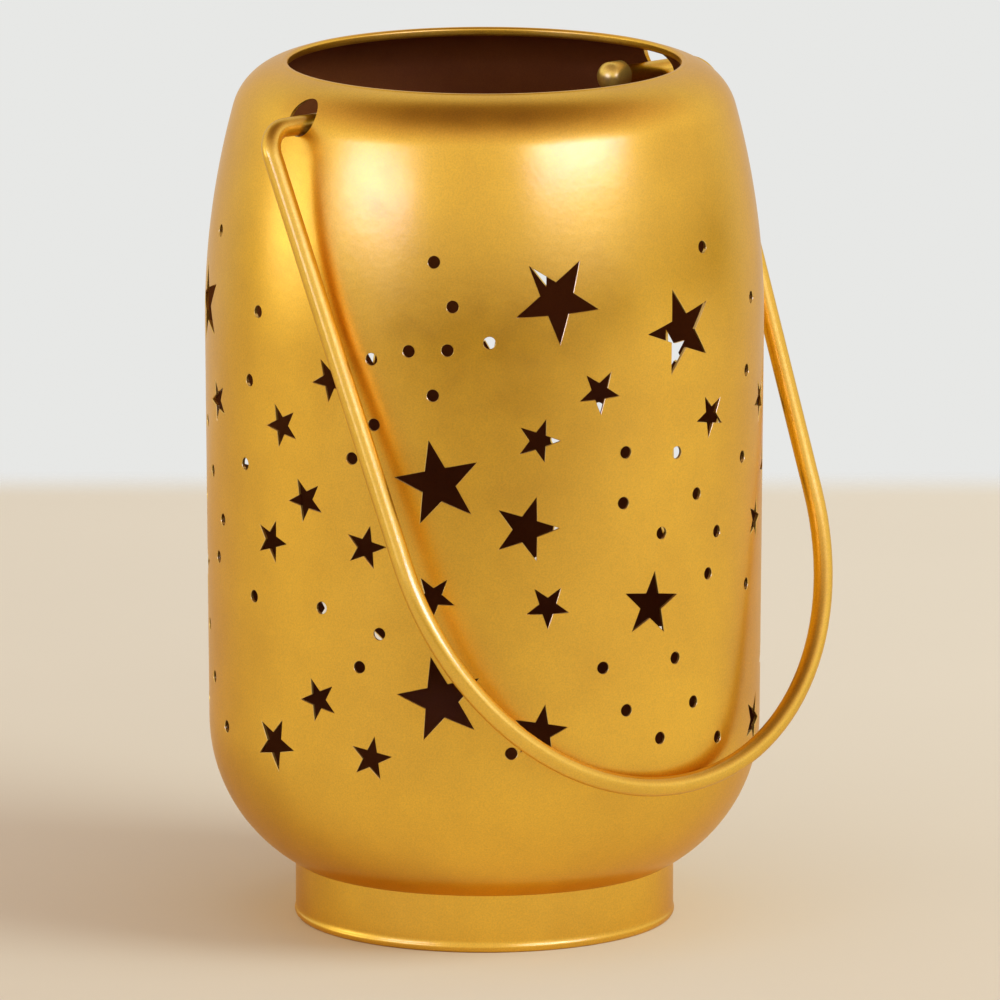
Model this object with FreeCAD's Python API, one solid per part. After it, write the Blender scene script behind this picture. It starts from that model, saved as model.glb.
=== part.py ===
import FreeCAD, Part
import math
import os

from FreeCAD import Vector

# Punched tin lantern with a wire bail.
# Lengths are in millimetres and angles in degrees. +Z is up, the origin is the centre of the
# circle that the foot stands on, and the bail's hinge runs along X.

# Sheet metal body, from the foot up: the bowl's curve, an upright wall that widens a little to
# its belly, a long gentle curve inwards, and a tight corner over to the mouth
sheet = 0.7
foot_height = 7.5
bowl_radius = 32.5
wall_foot_radius = 54.4
wall_height = 80.0
belly_radius = 55.0
shoulder_radius = 160.0
shoulder_lean = 5.2
corner_radius = 12.2
low_seam_drop = 7.0
high_seam_share = 0.6
back_seam_width = 0.6
back_seam_depth = 0.25

# Lip round the mouth: the sheet's edge folded under itself, just outside the corner's crest
mouth_behind_crest = 1.0
lip_height = 1.8
lip_edge = 0.4
lip_stand_out = 0.1

# Foot: a band with a rolled lower edge, slightly flattened where it stands
band_set_in = 17.0
bead_radius = 1.1
bead_stand_out = 0.2
bead_flat = 0.1

# Bail: one wire, bent inwards at the top through the shoulder's two holes
wire_radius = 1.9
running_gap = 0.3
hole_play = 1.6
hole_below_crest = 6.0
bail_side_gap = 1.9
bail_side_lean = 2.6
bail_below_wall = 17.0
bail_bend_radius = 5.0
bail_end_play = 1.0

# Caps on the wire's two ends, inside the shoulder
cap_wall = 1.1
cap_length = 5.5
cap_bore_depth = 4.0
cap_dome = 1.4
cap_reach = 24.6

# Punched pattern. One repeat is laid out in rows of the angle round the wall from the repeat's
# own middle, the share of the wall's height, and the turn of one of a star's arms from level
pattern_pitch = 125.5
pattern_middle = -42.5
pattern_seam_margin = 3.0
star_waist_share = 0.4
star_arms = 5
dot_radius = 1.2
dot_sides = 8

large_star = 8.7
larger_star = 6.6
medium_star = 5.5
small_star = 4.4

large_star_shares = (
    (-9.5, 0.569, 30),
    (-9.0, 0.187, 31),
    (15.0, 0.889, 57),
    (44.5, 0.813, 34),
)
larger_star_shares = (
    (8.5, 0.489, 0),
    (36.5, 0.338, 11),
)
medium_star_shares = (
    (-49.0, 0.076, 65),
    (11.5, 0.129, 8),
)
small_star_shares = (
    (-46.0, 0.644, 43),
    (-33.0, 0.738, 48),
    (-39.5, 0.52, 45),
    (-49.5, 0.436, 71),
    (-25.0, 0.449, 5),
    (-10.5, 0.369, 52),
    (-36.5, 0.169, 42),
    (-24.0, 0.076, 8),
    (11.0, 0.644, 70),
    (24.0, 0.724, 57),
    (53.5, 0.653, 44),
    (13.0, 0.351, 54),
)
dot_shares = (
    (-10.5, 0.956),
    (-6.5, 0.88),
    (1.0, 0.818),
    (-7.5, 0.804),
    (-15.5, 0.8),
    (-23.5, 0.782),
    (-10.5, 0.724),
    (-23.0, 0.667),
    (-28.0, 0.604),
    (52.0, 0.951),
    (-53.5, 0.836),
    (-56.5, 0.711),
    (-58.5, 0.56),
    (30.0, 0.613),
    (43.0, 0.6),
    (29.5, 0.524),
    (49.0, 0.52),
    (39.0, 0.462),
    (56.0, 0.444),
    (53.0, 0.373),
    (-55.5, 0.329),
    (-35.5, 0.333),
    (-22.0, 0.298),
    (-26.5, 0.236),
    (-2.0, 0.227),
    (5.5, 0.093),
    (25.0, 0.236),
    (43.0, 0.236),
    (30.5, 0.156),
    (48.5, 0.151),
    (39.0, 0.098),
    (57.0, 0.076),
)

# How far a cutting tool runs past what it cuts
overrun = 5.0

def spot(middle, radius, angle):
    """The point of a circle in the lantern's half section."""
    turn = math.radians(angle)
    return middle + Vector(radius * math.cos(turn), 0, radius * math.sin(turn))


def arc(middle, radius, start, end):
    ends = [spot(middle, radius, angle) for angle in (start, (start + end) / 2, end)]
    return Part.Arc(*ends).toShape()


def line(start, end):
    return Part.LineSegment(start, end).toShape()


def spun(edges, sweep=360):
    """A closed half section turned about the lantern's upright axis."""
    section = Part.Face(Part.Wire(Part.__sortEdges__(edges)))
    return section.revolve(Vector(), Vector(0, 0, 1), sweep)


def skin(outline, depth, sweep=360):
    """A layer of the sheet, from its outer surface to the given depth."""
    outer = outline(0)
    inner = outline(depth)
    first = line(outer[0].firstVertex(True).Point, inner[0].firstVertex(True).Point)
    last = line(outer[-1].lastVertex(True).Point, inner[-1].lastVertex(True).Point)
    return spun(outer + inner + [first, last], sweep)


# Sizes that follow from those above
bowl_flat_radius = wall_foot_radius - bowl_radius
bowl_middle = Vector(bowl_flat_radius, 0, foot_height + bowl_radius)
low_seam_angle = -math.degrees(math.asin(low_seam_drop / bowl_radius))
band_radius = wall_foot_radius - band_set_in
belly_height = bowl_middle.z + wall_height
shoulder_middle = Vector(belly_radius - shoulder_radius, 0, belly_height)
corner_share = 1 - shoulder_lean / (shoulder_radius - corner_radius)
corner_angle = math.degrees(math.acos(corner_share))
corner_middle = spot(shoulder_middle, shoulder_radius - corner_radius, corner_angle)
high_seam_angle = corner_angle * high_seam_share
crest_height = corner_middle.z + corner_radius
mouth_radius = corner_middle.x + mouth_behind_crest
lip_width = 2 * sheet
lip_across = mouth_radius + lip_width / 2 - corner_middle.x
lip_angle = math.degrees(math.acos(lip_across / corner_radius))
lip_top = spot(corner_middle, corner_radius, lip_angle).z + lip_stand_out
hole_radius = wire_radius + hole_play
hole_height = crest_height - hole_below_crest
hinge_height = hole_height - hole_radius + wire_radius + running_gap
widest_radius = max(wall_foot_radius, belly_radius)
bail_half_width = widest_radius + bail_side_gap + wire_radius
bail_drop = hinge_height - bowl_middle.z + bail_below_wall
cap_radius = wire_radius + cap_wall
cap_from_middle = belly_radius - cap_reach


def bowl_outline(depth):
    floor = foot_height + depth
    flat = line(Vector(0, 0, floor), Vector(bowl_flat_radius, 0, floor))
    return [flat, arc(bowl_middle, bowl_radius - depth, -90, low_seam_angle)]


def wall_outline(depth):
    upright = line(
        Vector(wall_foot_radius - depth, 0, bowl_middle.z),
        Vector(belly_radius - depth, 0, belly_height),
    )
    return [
        arc(bowl_middle, bowl_radius - depth, low_seam_angle, 0),
        upright,
        arc(shoulder_middle, shoulder_radius - depth, 0, high_seam_angle),
    ]


def shoulder_outline(depth):
    return [
        arc(shoulder_middle, shoulder_radius - depth, high_seam_angle, corner_angle),
        arc(corner_middle, corner_radius - depth, corner_angle, lip_angle),
    ]


def lip():
    """The folded edge: a ring with eased top edges and an upright face towards the mouth."""
    low = lip_top - lip_height
    side = lip_top - lip_edge
    outer_radius = mouth_radius + lip_width
    corners = [
        Vector(mouth_radius, 0, low),
        Vector(outer_radius, 0, low),
        Vector(outer_radius, 0, side),
        Vector(outer_radius - lip_edge, 0, lip_top),
        Vector(mouth_radius + lip_edge, 0, lip_top),
        Vector(mouth_radius, 0, side),
    ]
    return spun(Part.makePolygon(corners + corners[:1]).Edges)


def shoulder():
    hole = Part.makeCylinder(
        hole_radius,
        2 * (belly_radius + overrun),
        Vector(-belly_radius - overrun, 0, hole_height),
        Vector(1, 0, 0),
    )
    return skin(shoulder_outline, sheet).fuse(lip()).cut(hole).removeSplitter()


def ring_of_points(reaches, turn):
    """Points at equal angles round a hole's middle, on the given reaches by turns."""
    return [
        spot(Vector(), reach, turn + step * 360 / len(reaches))
        for step, reach in enumerate(reaches)
    ]


def punched_holes():
    """Every hole of the pattern as its middle's angle and height share, and its outline."""
    waist = star_waist_share
    star_rows = (
        (large_star, large_star_shares),
        (larger_star, larger_star_shares),
        (medium_star, medium_star_shares),
        (small_star, small_star_shares),
    )
    for radius, rows in star_rows:
        for angle, height_share, turn in rows:
            outline = ring_of_points([radius, radius * waist] * star_arms, turn)
            yield radius, angle, height_share, outline
    for angle, height_share in dot_shares:
        yield dot_radius, angle, height_share, ring_of_points([dot_radius] * dot_sides, 0)


def pattern():
    """The tools for all the holes, leaving out what would meet the seam at the back."""
    low = spot(bowl_middle, bowl_radius - sheet, low_seam_angle)
    high = spot(shoulder_middle, shoulder_radius - sheet, high_seam_angle)
    near = min(low.x, high.x, wall_foot_radius - sheet) - overrun
    far = widest_radius + overrun
    tools = []
    for repeat in range(-1, 3):
        repeat_middle = pattern_middle + repeat * pattern_pitch
        for radius, angle, height_share, outline in punched_holes():
            turn = repeat_middle + angle
            reach = math.degrees((radius + pattern_seam_margin) / belly_radius)
            if abs(turn) + reach > 180:
                continue
            middle = Vector(0, -far, low.z + (high.z - low.z) * height_share)
            corners = [middle + point for point in outline]
            face = Part.Face(Part.makePolygon(corners + corners[:1]))
            tool = face.extrude(Vector(0, far - near, 0))
            tool.rotate(Vector(), Vector(0, 0, 1), turn)
            tools.append(tool)
    return Part.makeCompound(tools)


def punched_wall():
    seam_sweep = math.degrees(back_seam_width / belly_radius)
    seam = skin(wall_outline, back_seam_depth, seam_sweep)
    seam.rotate(Vector(), Vector(0, 0, 1), 90 - seam_sweep / 2)
    return skin(wall_outline, sheet).cut(seam).cut(pattern())


def foot_ring():
    """The band ends on the bowl's outer surface, and the bead is flattened where it stands."""
    inner_radius = band_radius - sheet
    top_angles = [
        -math.degrees(math.acos((radius - bowl_flat_radius) / bowl_radius))
        for radius in (inner_radius, band_radius)
    ]
    top = arc(bowl_middle, bowl_radius, *top_angles)
    bead_middle = Vector(
        band_radius + bead_stand_out - bead_radius, 0, bead_radius - bead_flat
    )
    inner_foot = Vector(inner_radius, 0, bead_middle.z)
    outer_foot = Vector(band_radius, 0, bead_middle.z)
    band = spun([
        top,
        line(top.firstVertex(True).Point, inner_foot),
        line(inner_foot, outer_foot),
        line(outer_foot, top.lastVertex(True).Point),
    ])
    bead = Part.makeTorus(bead_middle.x, bead_radius, Vector(0, 0, bead_middle.z))
    below = Part.makeCylinder(
        band_radius + overrun, overrun, Vector(0, 0, -overrun)
    )
    return band.fuse(bead).cut(below).removeSplitter()


def rest_swing():
    """The bail's angle from hanging straight down, where it leans on the front of the bowl."""
    across = bowl_middle.x
    down = hinge_height - bowl_middle.z
    to_bowl = math.hypot(across, down)
    kept_off = bowl_radius + running_gap + wire_radius
    spread = (bail_drop**2 + to_bowl**2 - kept_off**2) / (2 * bail_drop * to_bowl)
    return math.atan2(across, down) + math.acos(spread)


def bail():
    swing = rest_swing()
    lean = math.radians(bail_side_lean)
    bottom_radius = (
        bail_half_width * math.cos(lean) - bail_drop * math.sin(lean)
    ) / (1 - math.sin(lean))
    bottom_middle = bail_drop - bottom_radius
    half_turn = (math.radians(90) + lean) / 2
    setback = bail_bend_radius * math.tan(half_turn)
    wire_end = cap_from_middle + cap_length - cap_bore_depth

    def at(side, across, down):
        return Vector(
            bail_end_play + side * across,
            -down * math.sin(swing),
            hinge_height - down * math.cos(swing),
        )

    def half(side):
        bend_start = at(side, bail_half_width - setback, 0)
        bend_middle = at(
            side,
            bail_half_width - setback + bail_bend_radius * math.sin(half_turn),
            bail_bend_radius * (1 - math.cos(half_turn)),
        )
        bend_end = at(
            side,
            bail_half_width - setback * math.sin(lean),
            setback * math.cos(lean),
        )
        side_end = at(
            side,
            bottom_radius * math.cos(lean),
            bottom_middle + bottom_radius * math.sin(lean),
        )
        return side_end, [
            line(at(side, wire_end, 0), bend_start),
            Part.Arc(bend_start, bend_middle, bend_end).toShape(),
            line(bend_end, side_end),
        ]

    left_end, left = half(-1)
    right_end, right = half(1)
    bottom = Part.Arc(left_end, at(1, 0, bail_drop), right_end).toShape()
    path = Part.Wire(Part.__sortEdges__(left + [bottom] + right))
    start = at(-1, wire_end, 0)
    section = Part.Wire(Part.Circle(start, Vector(1, 0, 0), wire_radius).toShape())
    return path.makePipeShell([section], True, False)


def bail_cap(side):
    """A domed cap, open towards the shoulder, with the wire's end pushed into it."""
    along = Vector(1, 0, 0)
    start = Vector(bail_end_play + cap_from_middle, 0, hinge_height)
    cap = Part.makeCylinder(cap_radius, cap_length, start, along)
    rim = min(
        (edge for edge in cap.Edges if len(edge.Vertexes) == 1),
        key=lambda edge: edge.CenterOfMass.x,
    )
    cap = cap.makeFillet(cap_dome, [rim])
    bore_start = start + along * (cap_length - cap_bore_depth)
    bore = Part.makeCylinder(wire_radius, cap_bore_depth + overrun, bore_start, along)
    cap = cap.cut(bore)
    if side < 0:
        cap = cap.mirror(Vector(bail_end_play, 0, 0), along)
    return cap


pieces = {
    "shoulder": shoulder(),
    "punched_wall": punched_wall(),
    "bowl": skin(bowl_outline, sheet),
    "foot_ring": foot_ring(),
    "bail": bail(),
    "bail_cap_left": bail_cap(-1),
    "bail_cap_right": bail_cap(1),
}

os.makedirs("parts", exist_ok=True)
for name, shape in pieces.items():
    solid = shape.Solids[0]
    print(name, len(shape.Solids), solid.isValid(), round(solid.Volume, 1))
    solid.exportStep(f"parts/{name}.step")

swing = math.degrees(rest_swing())
print("bail rests at", round(swing, 2), "and swings", round(360 - 2 * swing, 1))
print("hinge height", hinge_height, "crest", round(crest_height, 2))
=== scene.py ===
import math

import bmesh
import bpy
from mathutils import Matrix, Vector, geometry


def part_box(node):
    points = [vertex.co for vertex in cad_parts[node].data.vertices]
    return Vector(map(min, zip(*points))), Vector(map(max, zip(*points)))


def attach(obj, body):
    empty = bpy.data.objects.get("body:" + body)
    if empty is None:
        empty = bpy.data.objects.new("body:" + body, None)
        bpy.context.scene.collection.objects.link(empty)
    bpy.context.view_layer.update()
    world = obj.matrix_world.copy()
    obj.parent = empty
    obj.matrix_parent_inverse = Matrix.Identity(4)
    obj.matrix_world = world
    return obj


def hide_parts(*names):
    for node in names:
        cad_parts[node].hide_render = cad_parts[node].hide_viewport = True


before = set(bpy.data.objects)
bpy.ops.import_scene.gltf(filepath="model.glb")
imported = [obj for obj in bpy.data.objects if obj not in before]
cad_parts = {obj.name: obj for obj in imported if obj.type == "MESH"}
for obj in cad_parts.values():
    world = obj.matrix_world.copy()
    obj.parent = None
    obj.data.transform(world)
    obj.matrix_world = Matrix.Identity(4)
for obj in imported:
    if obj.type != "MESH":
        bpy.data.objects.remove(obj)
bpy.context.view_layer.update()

# Named lengths are in millimetres, which mm turns into metres, and named angles in degrees.
mm = 0.001

# The lantern's outline, as in the solids
SHEET = 0.7
FLOOR_HEIGHT = 7.5
BOWL_RADIUS = 32.5
WALL_FOOT_RADIUS = 54.4
WALL_HEIGHT = 80.0
BELLY_RADIUS = 55.0
SHOULDER_RADIUS = 160.0
SHOULDER_LEAN = 5.2
CORNER_RADIUS = 12.2
LOW_SEAM_DROP = 7.0
HIGH_SEAM_SHARE = 0.6
MOUTH_BEHIND_CREST = 1.0
LIP_HEIGHT = 1.8
LIP_STAND_OUT = 0.1
BAND_SET_IN = 17.0
BEAD_RADIUS = 1.1
BEAD_STAND_OUT = 0.2
BEAD_FLAT = 0.1
HOLE_RADIUS = 3.5
HOLE_BELOW_CREST = 6.0
WIRE_RADIUS = 1.9
BACK_SEAM_DEPTH = 0.25
BACK_SEAM_WIDTH = 0.6

# Small forms that only the scene has: the lip's rounding, the ends of the shoulder's curve behind
# it, the bead's curl, broken hole rims and domed caps
LIP_ROUND = 0.55
LIP_ROUND_START = 50.0
OUTSIDE_STOPS_SHORT = 4.0
INSIDE_STOPS_SHORT = 6.0
BEAD_CURL_END = 70.0
BAND_ABOVE_BEAD = 1.0
RIM_ROUND = 0.1
CAP_DOME = 2.4
CAP_EDGE = 0.25
CAP_END = 1.5

# The punched pattern: one repeat of it goes on round the wall
PATTERN_PITCH = 125.5
PATTERN_MIDDLE = -42.5
PATTERN_REPEATS = range(-1, 3)
PATTERN_SEAM_MARGIN = 3.0
STAR_WAIST_SHARE = 0.4
STAR_ARMS = 5
DOT_RADIUS = 1.2
DOT_SIDES = 20

# Stars by their radius: angle from the repeat's middle, share of the wall's height, and turn
STARS = {
    8.7: (
        (-9.5, 0.569, 30),
        (-9.0, 0.187, 31),
        (15.0, 0.889, 57),
        (44.5, 0.813, 34),
    ),
    6.6: (
        (8.5, 0.489, 0),
        (36.5, 0.338, 11),
    ),
    5.5: (
        (-49.0, 0.076, 65),
        (11.5, 0.129, 8),
    ),
    4.4: (
        (-46.0, 0.644, 43),
        (-33.0, 0.738, 48),
        (-39.5, 0.52, 45),
        (-49.5, 0.436, 71),
        (-25.0, 0.449, 5),
        (-10.5, 0.369, 52),
        (-36.5, 0.169, 42),
        (-24.0, 0.076, 8),
        (11.0, 0.644, 70),
        (24.0, 0.724, 57),
        (53.5, 0.653, 44),
        (13.0, 0.351, 54),
    ),
}

# Dots: angle from the repeat's middle, and share of the wall's height
DOTS = (
    (-10.5, 0.956), (-6.5, 0.88), (1.0, 0.818), (-7.5, 0.804), (-15.5, 0.8),
    (-23.5, 0.782), (-10.5, 0.724), (-23.0, 0.667), (-28.0, 0.604), (52.0, 0.951),
    (-53.5, 0.836), (-56.5, 0.711), (-58.5, 0.56), (30.0, 0.613), (43.0, 0.6),
    (29.5, 0.524), (49.0, 0.52), (39.0, 0.462), (56.0, 0.444), (53.0, 0.373),
    (-55.5, 0.329), (-35.5, 0.333), (-22.0, 0.298), (-26.5, 0.236),
    (5.5, 0.093), (25.0, 0.236), (43.0, 0.236), (30.5, 0.156), (48.5, 0.151),
    (39.0, 0.098), (57.0, 0.076),
)

# How finely the meshes are divided
AROUND = 288
CAP_AROUND = 96
WALL_ROWS = 76
STAR_STEPS = 5
HOLE_SIDES = 48
SAME_POINT = 0.0001
WELD = 0.001

# The wall's flat sheet: a grid that keeps clear of the holes, with more columns at the joint, is
# filled with triangles over the whole sheet
GRID_CLEAR = 0.45
NEAR_CELL = 5.0
SEAM_COLUMN_SHARES = (0.25, 0.5, 0.8)
CORNER_STRETCH = 2.0
WHOLE_SHEET = 0
FILL_TOLERANCE = 1e-6

# How far from the axis the cutters of the bail's holes start and end
HOLE_CUT_REACH = (30.0, 60.0)

# Shading: the sharpest smooth edge, the joint's share of the wall, and the upward part of a
# normal from which a face is the sheet's own edge
SHARP_ANGLE = 35.0
SEAM_SHADE_ANGLE = 1.3
EDGE_RISE = 0.5

# The material slots of the sheet pieces
OUTSIDE, INSIDE, CUT = 0, 1, 2

# Paint: the noise values that a ramp spans, how far the flakes darken it, the peel of the clear
# coat, and the metal's tint at its edges
NOISE_SPAN = (0.3, 0.7)
BLOTCH_SPAN = (0.32, 0.68)
FLAKE_SHADES = (0.86, 1.0)
PEEL_STRENGTH = 0.1
PEEL_DEPTH = 0.2
EDGE_TINT = (0.75, 0.5, 0.2)
PAINT_COAT = 0.45
COAT_IOR = 2.0

# The colour sockets of a Mix node
MIX_FIRST, MIX_SECOND, MIX_RESULT = 6, 7, 2

# Camera, which looks at a point near the lantern's middle
CAMERA_AZIMUTH = -42.5
CAMERA_ELEVATION = 11.27
CAMERA_DISTANCE = 3000.0
CAMERA_LENS = 547.6
CAMERA_AIM_HEIGHT = 83.05
CAMERA_SHIFT = 0.0155
CAMERA_NEAREST = 100.0
CAMERA_FARTHEST = 20000.0
SENSOR_WIDTH = 36.0

# Table, whose two ends fade into the backdrop, and whose colour darkens towards the front as painted
# shade
TABLE_BACK = 452.0
TABLE_FADE = 34.0
TABLE_FRONT = -600.0
FRONT_FADE = 140.0
TABLE_SIDE = 2000.0
TABLE_NEAR = -100.0
TABLE_ROUGHNESS = 0.8
GRAIN_SHADES = (0.97, 1.0)
# Painted shade: the table's colour near the front, and far away
NEAR_TABLE_SHADED = (0.775, 0.735, 0.65)
FAR_TABLE_LIT = (0.91, 0.93, 0.86)
BACKDROP = (0.8, 0.805, 0.79)

# The room by how high a direction looks, from -1 straight down to 1 straight up. It is bright at
# eye level and dark overhead, and dark below eye level on one side, right of the camera.
LOWEST = -0.2
DARK_ROOM = (
    (-0.03, (0.16, 0.08, 0.05)),
    (0.05, (0.86, 0.76, 0.64)),
    (0.4, (1.0, 0.9, 0.74)),
    (0.72, (0.66, 0.46, 0.4)),
    (0.9, (0.26, 0.14, 0.09)),
    (1.0, (0.18, 0.09, 0.06)),
)
PALE_ROOM = (
    (-0.06, (0.5, 0.4, 0.3)),
    (0.05, (0.9, 0.8, 0.66)),
    *DARK_ROOM[2:],
)

# The dark side and the side behind the lantern, from the camera's side, and the cosines of the
# angle from them at which they start and are full
DARK_SIDE = 40.0
DARK_START = -0.3
DARK_FULL = 0.4
BEHIND = 180.0
BEHIND_START = 0.3
BEHIND_FULL = 0.8

# Lamps: the cool ones turn the gold's highlights nearly white
LAMP_DISTANCE = 1400.0
COOL = (0.57, 0.68, 2.8)
WARM = (1.0, 0.98, 0.95)
DAY = (0.93, 1.0, 0.93)


# Outlines


def spot(middle, radius, angle):
    """The point of a circle at an angle."""
    turn = math.radians(angle)
    return (middle[0] + radius * math.cos(turn), middle[1] + radius * math.sin(turn))


def arc(middle, radius, start, end, steps):
    """The points of an arc between two angles, with its ends."""
    return [
        spot(middle, radius, start + (end - start) * step / steps)
        for step in range(steps + 1)
    ]


def run(start, end, steps):
    """Evenly spaced points of a straight line, with its ends."""
    return [
        tuple(a + (b - a) * step / steps for a, b in zip(start, end))
        for step in range(steps + 1)
    ]


def hole_outline(reaches, turn, steps=1):
    """A star or a round hole, from how far each of its corners reaches."""
    corners = [
        spot((0, 0), reach, turn + 360 * step / len(reaches))
        for step, reach in enumerate(reaches)
    ]
    outline = []
    for here, there in zip(corners, corners[1:] + corners[:1]):
        outline += run(here, there, steps)[:-1]
    return outline


def inside(point, outline):
    """Whether the point lies within the closed outline."""
    hit = False
    for (x0, y0), (x1, y1) in zip(outline, outline[1:] + outline[:1]):
        if (y0 > point[1]) != (y1 > point[1]):
            if point[0] < x0 + (point[1] - y0) / (y1 - y0) * (x1 - x0):
                hit = not hit
    return hit


def widened(outline, by):
    """The outline moved outwards, with its corners no further than CORNER_STRETCH times that."""
    moved = []
    for index, point in enumerate(outline):
        before = Vector(outline[index - 1])
        after = Vector(outline[(index + 1) % len(outline)])
        here = Vector(point)
        first = (here - before).normalized()
        second = (after - here).normalized()
        normal = Vector((first.y, -first.x))
        middle = (normal + Vector((second.y, -second.x))).normalized()
        reach = by / max(middle.dot(normal), 1 / CORNER_STRETCH)
        moved.append(tuple(here + middle * reach))
    return moved


# The body's half section, a chain of arcs: points are (radius, height)
bowl_flat_radius = WALL_FOOT_RADIUS - BOWL_RADIUS
bowl_middle = (bowl_flat_radius, FLOOR_HEIGHT + BOWL_RADIUS)
low_seam_angle = -math.degrees(math.asin(LOW_SEAM_DROP / BOWL_RADIUS))
belly_height = bowl_middle[1] + WALL_HEIGHT
shoulder_middle = (BELLY_RADIUS - SHOULDER_RADIUS, belly_height)
corner_angle = math.degrees(math.acos(1 - SHOULDER_LEAN / (SHOULDER_RADIUS - CORNER_RADIUS)))
corner_middle = spot(shoulder_middle, SHOULDER_RADIUS - CORNER_RADIUS, corner_angle)
high_seam_angle = corner_angle * HIGH_SEAM_SHARE
crest_height = corner_middle[1] + CORNER_RADIUS
mouth_radius = corner_middle[0] + MOUTH_BEHIND_CREST
lip_across = mouth_radius + SHEET - corner_middle[0]
lip_angle = math.degrees(math.acos(lip_across / CORNER_RADIUS))
lip_top = spot(corner_middle, CORNER_RADIUS, lip_angle)[1] + LIP_STAND_OUT
band_radius = WALL_FOOT_RADIUS - BAND_SET_IN


# Meshes


def linked(name, data):
    """A new object in the scene, from its mesh, lamp or camera data."""
    made = bpy.data.objects.new(name, data)
    bpy.context.scene.collection.objects.link(made)
    return made


def finished(name, build):
    """A new object from closed faces, which it turns outwards."""
    bmesh.ops.recalc_face_normals(build, faces=build.faces)
    mesh = bpy.data.meshes.new(name)
    build.to_mesh(mesh)
    build.free()
    return linked(name, mesh)


def joined(runs):
    """One list of points with their slots. Where a run starts at the last one's end, its slot
    counts."""
    points = []
    for outline, slot in runs:
        for point in outline:
            if points and math.dist(point, points[-1][0]) < SAME_POINT:
                points[-1] = (points[-1][0], slot)
            else:
                points.append((point, slot))
    return points


def ring_of(build, radius, height, around):
    """A ring of vertices about Z, or a single vertex on the axis."""
    if radius < SAME_POINT:
        return [build.verts.new((0, 0, height * mm))]
    turns = [math.tau * step / around for step in range(around)]
    return [
        build.verts.new((radius * mm * math.cos(turn), radius * mm * math.sin(turn), height * mm))
        for turn in turns
    ]


def strip(build, first, second, slot):
    """Faces between two closed rows of vertices, of which one may be a single vertex."""
    if len(first) == len(second) == 1:
        return
    for step in range(max(len(first), len(second))):
        corners = (
            first[step % len(first)],
            first[(step + 1) % len(first)],
            second[(step + 1) % len(second)],
            second[step % len(second)],
        )
        face = build.faces.new(tuple(dict.fromkeys(corners)))
        face.material_index = slot


def spun(name, runs, around=AROUND):
    """A closed form turned about Z from its half section, given as runs of points, each with
    its material slot. The last point is joined to the first."""
    points = joined(runs)
    build = bmesh.new()
    rings = [ring_of(build, radius, height, around) for (radius, height), _ in points]
    for index, (_, slot) in enumerate(points):
        strip(build, rings[index], rings[(index + 1) % len(rings)], slot)
    return finished(name, build)


def smooth(piece):
    """Smooth shading that keeps edges sharper than SHARP_ANGLE."""
    limit = math.radians(SHARP_ANGLE)
    build = bmesh.new()
    build.from_mesh(piece.data)
    for face in build.faces:
        face.smooth = True
    for edge in build.edges:
        edge.smooth = len(edge.link_faces) == 2 and edge.calc_face_angle(0) <= limit
    build.to_mesh(piece.data)
    build.free()


def cut(piece, tools):
    """Cuts the joined tools out of the piece, for good, and welds the slivers that this leaves."""
    modifier = piece.modifiers.new("cut", "BOOLEAN")
    modifier.operation = "DIFFERENCE"
    modifier.solver = "EXACT"
    modifier.object = tools
    bpy.context.view_layer.update()
    graph = bpy.context.evaluated_depsgraph_get()
    mesh = bpy.data.meshes.new_from_object(piece.evaluated_get(graph))
    build = bmesh.new()
    build.from_mesh(mesh)
    bmesh.ops.remove_doubles(build, verts=build.verts, dist=WELD * mm)
    build.to_mesh(mesh)
    build.free()
    piece.modifiers.clear()
    piece.data = mesh
    bpy.data.objects.remove(tools)


# The punched wall, which is laid out flat, filled round its holes, and rolled up


def wall_radius(height):
    """The radius of the wall's outer surface."""
    if height < bowl_middle[1]:
        return bowl_middle[0] + math.sqrt(BOWL_RADIUS**2 - (bowl_middle[1] - height) ** 2)
    if height > belly_height:
        return shoulder_middle[0] + math.sqrt(SHOULDER_RADIUS**2 - (height - belly_height) ** 2)
    share = (height - bowl_middle[1]) / WALL_HEIGHT
    return WALL_FOOT_RADIUS + (BELLY_RADIUS - WALL_FOOT_RADIUS) * share


def wall_tilt(height):
    """How far the outer surface looks up or down, in radians."""
    if height < bowl_middle[1]:
        return math.asin((height - bowl_middle[1]) / BOWL_RADIUS)
    if height > belly_height:
        return math.asin((height - belly_height) / SHOULDER_RADIUS)
    return 0.0


def seam_dip(across):
    """The shallow groove of the sheet's joint at the back, by the distance round the wall."""
    away = math.pi * BELLY_RADIUS - abs(across)
    half = BACK_SEAM_WIDTH / 2
    return BACK_SEAM_DEPTH * max(0.0, min(1.0, 2 - 2 * away / half))


def wall_point(across, height, depth):
    """A point of the wall and its surface's normal, from its place on the flat sheet."""
    turn = across / BELLY_RADIUS
    tilt = wall_tilt(height)
    out = Vector((math.sin(turn) * math.cos(tilt), -math.cos(turn) * math.cos(tilt), math.sin(tilt)))
    radius = wall_radius(height) - seam_dip(across)
    place = Vector((radius * math.sin(turn), -radius * math.cos(turn), height))
    return (place - out * depth) * mm, out


def pattern_repeat():
    """Every hole of one repeat: its radius, angle, share of the height, and outline."""
    holes = []
    for radius, rows in STARS.items():
        reaches = [radius, radius * STAR_WAIST_SHARE] * STAR_ARMS
        for angle, share, turn in rows:
            holes.append((radius, angle, share, hole_outline(reaches, turn, STAR_STEPS)))
    for angle, share in DOTS:
        holes.append((DOT_RADIUS, angle, share, hole_outline([DOT_RADIUS] * DOT_SIDES, 0)))
    return holes


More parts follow.
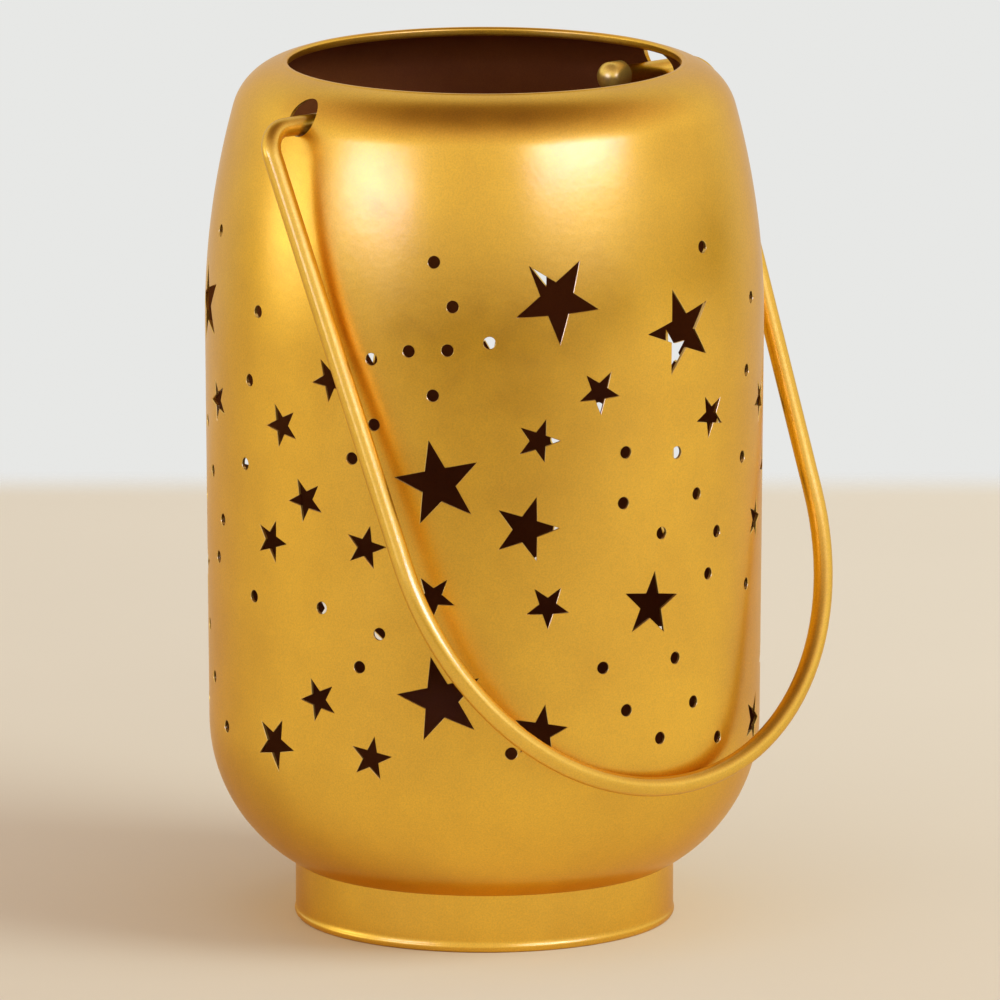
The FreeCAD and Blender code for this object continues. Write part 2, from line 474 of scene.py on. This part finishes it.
def pattern_holes():
    """The middle, radius and outline of every hole, on the flat sheet."""
    low = spot(bowl_middle, BOWL_RADIUS - SHEET, low_seam_angle)[1]
    high = spot(shoulder_middle, SHOULDER_RADIUS - SHEET, high_seam_angle)[1]
    holes = []
    for repeat in PATTERN_REPEATS:
        for radius, angle, share, outline in pattern_repeat():
            turn = PATTERN_MIDDLE + repeat * PATTERN_PITCH + angle
            reach = math.degrees((radius + PATTERN_SEAM_MARGIN) / BELLY_RADIUS)
            if abs(turn) + reach > 180:
                continue
            middle = (math.radians(turn) * BELLY_RADIUS, low + (high - low) * share)
            across = wall_radius(middle[1])
            flat = [
                (middle[0] + math.asin(x / across) * BELLY_RADIUS, middle[1] + y)
                for x, y in outline
            ]
            holes.append((middle, radius, flat))
    return holes


def clear_of(point, holes):
    """Whether a grid point stays away from the holes, so that no thin triangles come there."""
    for middle, reach, rim in holes:
        if math.dist(point, middle) > reach:
            continue
        if inside(point, rim):
            return False
        for here, there in zip(rim, rim[1:] + rim[:1]):
            _, share = geometry.intersect_point_line(point, here, there)
            nearest = Vector(here).lerp(Vector(there), max(0.0, min(1.0, share)))
            if math.dist(point, nearest) < GRID_CLEAR:
                return False
    return True


def grid_columns():
    """Where the grid's columns stand along the flat sheet, closer together at its joint."""
    half_round = math.pi * BELLY_RADIUS
    columns = [half_round * (2 * step / AROUND - 1) for step in range(AROUND + 1)]
    for share in SEAM_COLUMN_SHARES:
        columns += [side * (half_round - BACK_SEAM_WIDTH * share) for side in (-1, 1)]
    return sorted(columns)


def grid_points(holes, rims, rows):
    """The points of a grid over the flat sheet that stay clear of the holes."""
    near = {}
    for (middle, radius, _), rim in zip(holes, rims):
        reach = radius + 2 * RIM_ROUND + GRID_CLEAR
        first = int((middle[0] - reach) // NEAR_CELL)
        last = int((middle[0] + reach) // NEAR_CELL)
        for cell in range(first, last + 1):
            near.setdefault(cell, []).append((middle, reach, rim))
    grid = []
    for across in grid_columns():
        close = near.get(int(across // NEAR_CELL), [])
        for height in rows:
            if height in (rows[0], rows[-1]) or clear_of((across, height), close):
                grid.append(Vector((across, height)))
    return grid


def filled(rims, grid):
    """The flat sheet in triangles: its points, its faces outside the rims, and the numbers of
    the points in each rim."""
    flat = []
    edges = []
    spans = []
    for rim in rims:
        numbers = range(len(flat), len(flat) + len(rim))
        flat += [Vector(point) for point in rim]
        edges += zip(numbers, [*numbers[1:], numbers[0]])
        spans.append(numbers)
    points, _, faces, origins, _, _ = geometry.delaunay_2d_cdt(
        flat + grid, edges, [], WHOLE_SHEET, FILL_TOLERANCE
    )
    place = {origin: index for index, group in enumerate(origins) for origin in group}
    rings = [[place[number] for number in numbers] for numbers in spans]
    owner = {index: rim for ring, rim in zip(rings, rims) for index in ring}
    kept = []
    for face in faces:
        rim = owner.get(face[0])
        if rim and all(owner.get(corner) is rim for corner in face):
            middle = sum((points[corner] for corner in face), Vector((0, 0))) / len(face)
            if inside(middle, rim):
                continue
        kept.append(face)
    return points, kept, rings


def wall_piece(name):
    """The punched wall, with the rims of its holes broken on the outside."""
    holes = pattern_holes()
    rims = [widened(outline, RIM_ROUND) for _, _, outline in holes]
    bottom = spot(bowl_middle, BOWL_RADIUS, low_seam_angle)[1]
    top = spot(shoulder_middle, SHOULDER_RADIUS, high_seam_angle)[1]
    rows = [bottom + (top - bottom) * step / WALL_ROWS for step in range(WALL_ROWS + 1)]
    points, faces, rings = filled(rims, grid_points(holes, rims, rows))

    build = bmesh.new()
    outer = []
    inner = []
    for point in points:
        outer.append(build.verts.new(wall_point(point.x, point.y, 0)[0]))
        inner.append(build.verts.new(wall_point(point.x, point.y, SHEET)[0]))
    for face in faces:
        build.faces.new([outer[corner] for corner in face]).material_index = OUTSIDE
        build.faces.new([inner[corner] for corner in reversed(face)]).material_index = INSIDE
    for (_, _, outline), ring in zip(holes, rings):
        low = [build.verts.new(wall_point(x, y, RIM_ROUND)[0]) for x, y in outline]
        strip(build, [outer[index] for index in ring], low, CUT)
        strip(build, low, [inner[index] for index in ring], CUT)
    # The sheet's own lower and upper edges, whose faces turn opposite ways
    for height, order in ((bottom, 1), (top, -1)):
        row = sorted(
            (point.x, index)
            for index, point in enumerate(points)
            if abs(point.y - height) < SAME_POINT
        )
        for (_, here), (_, there) in zip(row, row[1:]):
            corners = (outer[here], outer[there], inner[there], inner[here])
            build.faces.new(corners[::order]).material_index = OUTSIDE
    bmesh.ops.remove_doubles(build, verts=build.verts, dist=SAME_POINT * mm)
    return finished(name, build)


def true_normals(piece):
    """Shades the sheet's two sides by the real surface, so that the fill's triangles don't show.
    The joint's groove and the sheet's own edges keep plain shading."""
    mesh = piece.data
    normals = [Vector((0, 0, 0))] * len(mesh.loops)
    limit = math.radians(SEAM_SHADE_ANGLE)
    for face in mesh.polygons:
        if face.material_index == CUT:
            continue
        side = 1 if face.material_index == OUTSIDE else -1
        for loop in face.loop_indices:
            place = mesh.vertices[mesh.loops[loop].vertex_index].co
            turn = math.atan2(place.x, -place.y)
            if math.pi - abs(turn) < limit or abs(face.normal.z) > EDGE_RISE:
                continue
            normals[loop] = wall_point(turn * BELLY_RADIUS, place.z / mm, 0)[1] * side
    mesh.normals_split_custom_set(normals)


# Half sections of the other pieces, as runs of (radius, height) points with their slots


def bowl_runs():
    """The bowl: its flat floor, and its curve up to the lower seam."""

    def outline(depth):
        floor = FLOOR_HEIGHT + depth
        flat = run((0, floor), (bowl_flat_radius, floor), steps=8)
        curve = arc(bowl_middle, BOWL_RADIUS - depth, -90, low_seam_angle, steps=40)
        return flat + curve[1:]

    outer = outline(0)
    inner = outline(SHEET)
    return [(outer, OUTSIDE), (inner[::-1], INSIDE)]


def shoulder_runs():
    """The shoulder: a long lean, a tight corner, and the folded lip round the mouth."""

    def outline(depth, end):
        lean = arc(shoulder_middle, SHOULDER_RADIUS - depth, high_seam_angle, corner_angle, steps=12)
        corner = arc(corner_middle, CORNER_RADIUS - depth, corner_angle, end, steps=36)
        return lean + corner[1:]

    outer = outline(0, lip_angle - OUTSIDE_STOPS_SHORT)
    inner = outline(SHEET, lip_angle - INSIDE_STOPS_SHORT)
    near = mouth_radius + LIP_ROUND
    far = mouth_radius + 2 * SHEET - LIP_ROUND
    high = lip_top - LIP_ROUND
    low = lip_top - LIP_HEIGHT + LIP_ROUND
    lip = (
        arc((far, high), LIP_ROUND, LIP_ROUND_START, 90, steps=5)
        + arc((near, high), LIP_ROUND, 90, 180, steps=8)
        + arc((near, low), LIP_ROUND, 180, 270, steps=8)
        + arc((far, low), LIP_ROUND, -90, 0, steps=8)
    )
    return [(outer, OUTSIDE), (lip, OUTSIDE), (inner[::-1], INSIDE)]


def under_bowl(radius):
    """The point of the bowl's underside at that radius."""
    angle = -math.degrees(math.acos((radius - bowl_flat_radius) / BOWL_RADIUS))
    return spot(bowl_middle, BOWL_RADIUS, angle)


def foot_runs():
    """The foot: a band up to the bowl, and a curled bead that is slightly flat where it stands."""
    inner_radius = band_radius - SHEET
    bead = (band_radius + BEAD_STAND_OUT - BEAD_RADIUS, BEAD_RADIUS - BEAD_FLAT)
    inner_foot = (inner_radius, bead[1] + BAND_ABOVE_BEAD)
    touch = math.degrees(math.acos((band_radius - bead[0]) / BEAD_RADIUS))
    flat = math.degrees(math.asin((BEAD_RADIUS - BEAD_FLAT) / BEAD_RADIUS))
    outer_bead = arc(bead, BEAD_RADIUS, touch, -flat, steps=10)
    inner_bead = arc(bead, BEAD_RADIUS, flat - 180, BEAD_CURL_END - 360, steps=14)
    return [
        (run(under_bowl(band_radius), outer_bead[0], steps=12), OUTSIDE),
        (outer_bead, OUTSIDE),
        (inner_bead, OUTSIDE),
        (run(inner_foot, under_bowl(inner_radius), steps=8), INSIDE),
    ]


def cap_runs(radius, length):
    """A cap with a domed end at zero, open for the wire at its length."""
    dome = [
        (radius * sine, CAP_DOME * (1 - cosine))
        for cosine, sine in arc((0, 0), 1, 0, 90, steps=18)
    ]
    edge_height = length - CAP_EDGE
    return [
        (dome, OUTSIDE),
        (arc((radius - CAP_EDGE, edge_height), CAP_EDGE, 0, 90, steps=4), OUTSIDE),
        (arc((WIRE_RADIUS + CAP_EDGE, edge_height), CAP_EDGE, 90, 180, steps=4), OUTSIDE),
        ([(WIRE_RADIUS, CAP_END), (0, CAP_END)], INSIDE),
    ]


# Materials


def add_node(tree, kind, inputs, **settings):
    """Adds a shader node. Each input is joined to a socket or set to a number or colour."""
    node = tree.nodes.new("ShaderNode" + kind)
    for name, value in settings.items():
        setattr(node, name, value)
    for name, value in inputs.items():
        if isinstance(value, bpy.types.NodeSocket):
            tree.links.new(value, node.inputs[name])
        else:
            node.inputs[name].default_value = value
    return node


def noise(tree, scale, detail, rough):
    """A noise that is fixed to the object."""
    inputs = {
        "Vector": add_node(tree, "TexCoord", {}).outputs["Object"],
        "Scale": scale,
        "Detail": detail,
        "Roughness": rough,
    }
    return add_node(tree, "TexNoise", inputs).outputs[0]


def ramp(tree, source, stops):
    """A colour ramp over a value, from (position, colour) stops."""
    node = add_node(tree, "ValToRGB", {0: source})
    elements = node.color_ramp.elements
    while len(elements) < len(stops):
        elements.new(0.5)
    for element, (position, colour) in zip(elements, stops):
        element.position = position
        element.color = (*colour, 1)
    return node.outputs[0]


def uneven(tree, source, low, high):
    """A number that varies with a noise, between about low and high."""
    return ramp(tree, source, list(zip(NOISE_SPAN, ((low,) * 3, (high,) * 3))))


def mixed(tree, share, first, second, blend="MIX"):
    """Mixes two colours by a share of the second."""
    inputs = {0: share, MIX_FIRST: first, MIX_SECOND: second}
    return add_node(tree, "Mix", inputs, data_type="RGBA", blend_type=blend).outputs[MIX_RESULT]


def math_of(tree, operation, first, second):
    """The sum, product or larger one of two values, as the operation says."""
    return add_node(tree, "Math", {0: first, 1: second}, operation=operation).outputs[0]


def smooth_step(tree, source, start, end):
    """Rises smoothly from 0 where the value is at the start to 1 at the end."""
    inputs = {"Value": source, "From Min": start, "From Max": end}
    return add_node(tree, "MapRange", inputs, interpolation_type="SMOOTHSTEP").outputs[0]


def new_material(name):
    """An empty node material and its tree."""
    material = bpy.data.materials.new(name)
    material.use_nodes = True
    material.node_tree.nodes.clear()
    return material, material.node_tree


def painted_metal(name, tones, rough, coat_rough, coat=PAINT_COAT, metallic=1.0):
    """Metallic paint under a clear coat: soft blotches, fine flakes, uneven gloss and a fine peel."""
    material, tree = new_material(name)
    blotches = noise(tree, scale=34, detail=5, rough=0.62)
    flakes = noise(tree, scale=3200, detail=1, rough=0.5)
    wear = noise(tree, scale=150, detail=5, rough=0.65)
    smear = noise(tree, scale=70, detail=6, rough=0.72)
    peel = {
        "Strength": PEEL_STRENGTH,
        "Distance": PEEL_DEPTH * mm,
        "Height": noise(tree, scale=700, detail=3, rough=0.55),
    }
    normal = add_node(tree, "Bump", peel).outputs[0]
    paint = ramp(tree, blotches, list(zip(BLOTCH_SPAN, tones)))
    surface = {
        "Base Color": mixed(tree, 1.0, paint, uneven(tree, flakes, *FLAKE_SHADES), "MULTIPLY"),
        "Metallic": metallic,
        "Specular Tint": (*EDGE_TINT, 1),
        "Roughness": uneven(tree, wear, *rough),
        "Coat Weight": coat,
        "Coat IOR": COAT_IOR,
        "Coat Roughness": uneven(tree, smear, *coat_rough),
        "Normal": normal,
        "Coat Normal": normal,
    }
    shader = add_node(tree, "BsdfPrincipled", surface)
    add_node(tree, "OutputMaterial", {"Surface": shader.outputs[0]})
    return material


gold = painted_metal(
    "gold_paint",
    tones=((0.86, 0.5, 0.022), (1.0, 0.605, 0.03)),
    rough=(0.3, 0.37),
    coat_rough=(0.21, 0.27),
)
# The sheets' inner sides are dark brown and half metallic.
dark_inside = painted_metal(
    "dark_brown_inside",
    tones=((0.25, 0.07, 0.013), (0.37, 0.12, 0.025)),
    rough=(0.5, 0.62),
    coat_rough=(0.4, 0.5),
    coat=0.15,
    metallic=0.5,
)
# The holes' cut edges are a paler gold: partly their bare punched edges, partly a painted highlight
# where they catch the light.
bare_edge_and_sheen = painted_metal(
    "gold_bare_edge_and_sheen",
    tones=((0.82, 0.55, 0.1), (0.92, 0.66, 0.16)),
    rough=(0.3, 0.38),
    coat_rough=(0.15, 0.25),
)
wire_gold = painted_metal(
    "gold_wire",
    tones=((0.88, 0.54, 0.035), (0.98, 0.62, 0.055)),
    rough=(0.32, 0.4),
    coat_rough=(0.12, 0.18),
)
# The caps' gold is a paler, brighter and less metallic copy of the paint: painted light, so that the
# caps read as lit down in the shaded mouth.
cap_painted_light = painted_metal(
    "gold_cap_painted_light",
    tones=((1.0, 0.66, 0.1), (1.0, 0.76, 0.18)),
    rough=(0.3, 0.38),
    coat_rough=(0.26, 0.32),
    coat=0.2,
    metallic=0.8,
)


# Pieces


def dress(piece, node):
    """Paints a sheet piece, which stands for its solid and rides on the lantern."""
    for material in (gold, dark_inside, bare_edge_and_sheen):
        piece.data.materials.append(material)
    smooth(piece)
    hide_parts(node)
    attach(piece, "lantern")


def pivot_hole_cutters():
    """Two closed bars that cut the bail's holes through the shoulder's sides."""
    middle = (crest_height - HOLE_BELOW_CREST) * mm
    outline = hole_outline([HOLE_RADIUS] * HOLE_SIDES, 0)
    build = bmesh.new()
    for side in (-1, 1):
        near, far = [
            [build.verts.new((side * reach * mm, y * mm, middle + z * mm)) for y, z in outline]
            for reach in HOLE_CUT_REACH
        ]
        build.faces.new(near[::-1]).material_index = CUT
        build.faces.new(far).material_index = CUT
        strip(build, near, far, CUT)
    return finished("pivot_holes", build)


def cap_piece(name, node, side):
    """The cap on the wire's end, on its solid's place, with its dome towards the middle."""
    low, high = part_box(node)
    piece = spun(name, cap_runs((high.z - low.z) / 2 / mm, (high.x - low.x) / mm), CAP_AROUND)
    middle = (low + high) / 2
    start = Vector((low.x if side > 0 else high.x, middle.y, middle.z))
    upright_to_side = Matrix.Rotation(side * math.pi / 2, 4, "Y")
    piece.data.transform(Matrix.Translation(start) @ upright_to_side)
    # The caps take the brightened gold, which is painted light.
    for _ in (OUTSIDE, INSIDE):
        piece.data.materials.append(cap_painted_light)
    smooth(piece)
    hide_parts(node)
    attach(piece, "bail")


wall = wall_piece("punched_sheet")
dress(wall, "punched_wall")
true_normals(wall)

shoulder = spun("shoulder_sheet", shoulder_runs())
cut(shoulder, pivot_hole_cutters())
dress(shoulder, "shoulder")

bowl = spun("bowl_sheet", bowl_runs())
dress(bowl, "bowl")

foot = spun("foot_band", foot_runs())
dress(foot, "foot_ring")

cap_piece("domed_cap_left", "bail_cap_left", -1)
cap_piece("domed_cap_right", "bail_cap_right", 1)

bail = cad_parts["bail"]
bail.data.materials.clear()
bail.data.materials.append(wire_gold)


# Stage, lit and seen from directions that are given from the camera's side

aim = Vector((0, 0, CAMERA_AIM_HEIGHT * mm))


def direction(azimuth, elevation):
    """The way from the lantern towards a place, as a vector of length one."""
    swing = math.radians(CAMERA_AZIMUTH + azimuth)
    rise = math.radians(elevation)
    return Vector((
        math.sin(swing) * math.cos(rise),
        -math.cos(swing) * math.cos(rise),
        math.sin(rise),
    ))


def aimed(name, data, away, distance):
    """A lamp or camera at that distance, which looks at the lantern."""
    looking = linked(name, data)
    looking.location = aim + away * distance * mm
    looking.rotation_euler = away.to_track_quat("Z", "Y").to_euler()
    return looking


def table_top():
    """A pale plain surface with painted shade, darker near the front and paler with distance, that
    turns clear at its near and far ends.
    """
    material, tree = new_material("table_top")
    place = add_node(tree, "TexCoord", {}).outputs["Object"]
    back = add_node(tree, "SeparateXYZ", {0: place}).outputs["Y"]
    span = {"Value": back, "From Min": TABLE_NEAR * mm, "From Max": TABLE_BACK * mm}
    depth = add_node(tree, "MapRange", span).outputs[0]
    # Painted shade: the table's colour darkens from the far end towards the front.
    painted_shade = ramp(tree, depth, [(0.0, NEAR_TABLE_SHADED), (1.0, FAR_TABLE_LIT)])
    grain = uneven(tree, noise(tree, scale=5, detail=2, rough=0.5), *GRAIN_SHADES)
    surface = {
        "Base Color": mixed(tree, 1.0, painted_shade, grain, "MULTIPLY"),
        "Roughness": TABLE_ROUGHNESS,
        "Specular IOR Level": 0.0,
    }
    solid = add_node(tree, "BsdfPrincipled", surface).outputs[0]
    clear = add_node(tree, "BsdfTransparent", {}).outputs[0]
    far_end = smooth_step(tree, back, (TABLE_BACK - TABLE_FADE) * mm, TABLE_BACK * mm)
    near_end = smooth_step(tree, back, (TABLE_FRONT + FRONT_FADE) * mm, TABLE_FRONT * mm)
    ends = math_of(tree, "ADD", far_end, near_end)
    shown = add_node(tree, "MixShader", {0: ends, 1: solid, 2: clear})
    add_node(tree, "OutputMaterial", {"Surface": shown.outputs[0]})
    return material


def make_table():
    """The table, turned so that its depth runs straight away from the camera."""
    corners = [
        (x * mm, y * mm, 0)
        for x, y in (
            (-TABLE_SIDE, TABLE_FRONT),
            (TABLE_SIDE, TABLE_FRONT),
            (TABLE_SIDE, TABLE_BACK),
            (-TABLE_SIDE, TABLE_BACK),
        )
    ]
    mesh = bpy.data.meshes.new("table")
    mesh.from_pydata(corners, [], [(0, 1, 2, 3)])
    mesh.materials.append(table_top())
    table = linked("table", mesh)
    table.matrix_world = Matrix.Rotation(math.radians(CAMERA_AZIMUTH), 4, "Z")


def facing(tree, place, towards, start, full):
    """How far a direction of the room belongs to the side round another one, from 0 to 1."""
    inputs = {0: place, 1: towards}
    cosine = add_node(tree, "VectorMath", inputs, operation="DOT_PRODUCT").outputs["Value"]
    return smooth_step(tree, cosine, start, full)


def make_world():
    """The room that the metal reflects, and a plain pale backdrop, which the camera sees all
    round and the metal behind the lantern."""
    world = bpy.data.worlds.new("studio")
    bpy.context.scene.world = world
    world.use_nodes = True
    tree = world.node_tree
    tree.nodes.clear()
    place = add_node(tree, "TexCoord", {}).outputs["Generated"]
    height = add_node(tree, "SeparateXYZ", {0: place}).outputs["Z"]
    share = add_node(tree, "MapRange", {"Value": height, "From Min": LOWEST}).outputs[0]
    pale, dark = [
        ramp(tree, share, [((rise - LOWEST) / (1 - LOWEST), colour) for rise, colour in stops])
        for stops in (PALE_ROOM, DARK_ROOM)
    ]
    dark_side = facing(tree, place, direction(DARK_SIDE, 0), DARK_START, DARK_FULL)
    room = add_node(tree, "Background", {"Color": mixed(tree, dark_side, pale, dark)})
    backdrop = add_node(tree, "Background", {"Color": (*BACKDROP, 1)})
    ray = add_node(tree, "LightPath", {}).outputs
    mirrored = math_of(tree, "MAXIMUM", ray["Is Glossy Ray"], ray["Is Transmission Ray"])
    behind = facing(tree, place, direction(BEHIND, 0), BEHIND_START, BEHIND_FULL)
    mirrored = math_of(tree, "MULTIPLY", mirrored, behind)
    shown = math_of(tree, "MAXIMUM", ray["Is Camera Ray"], mirrored)
    mix = add_node(tree, "MixShader", {0: shown, 1: room.outputs[0], 2: backdrop.outputs[0]})
    add_node(tree, "OutputWorld", {"Surface": mix.outputs[0]})


def lamp(name, azimuth, elevation, width, height, power, colour):
    """A soft oval lamp that looks at the lantern."""
    data = bpy.data.lights.new(name, "AREA")
    data.shape = "ELLIPSE"
    data.size = width * mm
    data.size_y = height * mm
    data.energy = power
    data.color = colour
    return aimed(name, data, direction(azimuth, elevation), LAMP_DISTANCE)


def make_lamps():
    """Three lamps for the highlights alone, and two that light everything but the highlights."""
    for source in (
        lamp("window_right", azimuth=44, elevation=22, width=1150, height=260, power=3.45, colour=COOL),
        lamp("window_left", azimuth=-49, elevation=15, width=900, height=250, power=2.05, colour=COOL),
        lamp("left_wall", azimuth=-88, elevation=5, width=700, height=340, power=1.0, colour=WARM),
    ):
        source.visible_diffuse = False
    for source in (
        lamp("ceiling", azimuth=0, elevation=78, width=1200, height=1200, power=2.4, colour=DAY),
        lamp("side", azimuth=65, elevation=38, width=700, height=700, power=9.2, colour=DAY),
    ):
        source.visible_glossy = False


def make_camera():
    """The photograph's view."""
    data = bpy.data.cameras.new("camera")
    data.lens = CAMERA_LENS
    data.sensor_width = SENSOR_WIDTH
    data.shift_x = CAMERA_SHIFT
    data.clip_start = CAMERA_NEAREST * mm
    data.clip_end = CAMERA_FARTHEST * mm
    camera = aimed("camera", data, direction(0, CAMERA_ELEVATION), CAMERA_DISTANCE)
    bpy.context.scene.camera = camera


make_table()
make_world()
make_lamps()
make_camera()
bpy.context.scene.view_settings.view_transform = "Standard"
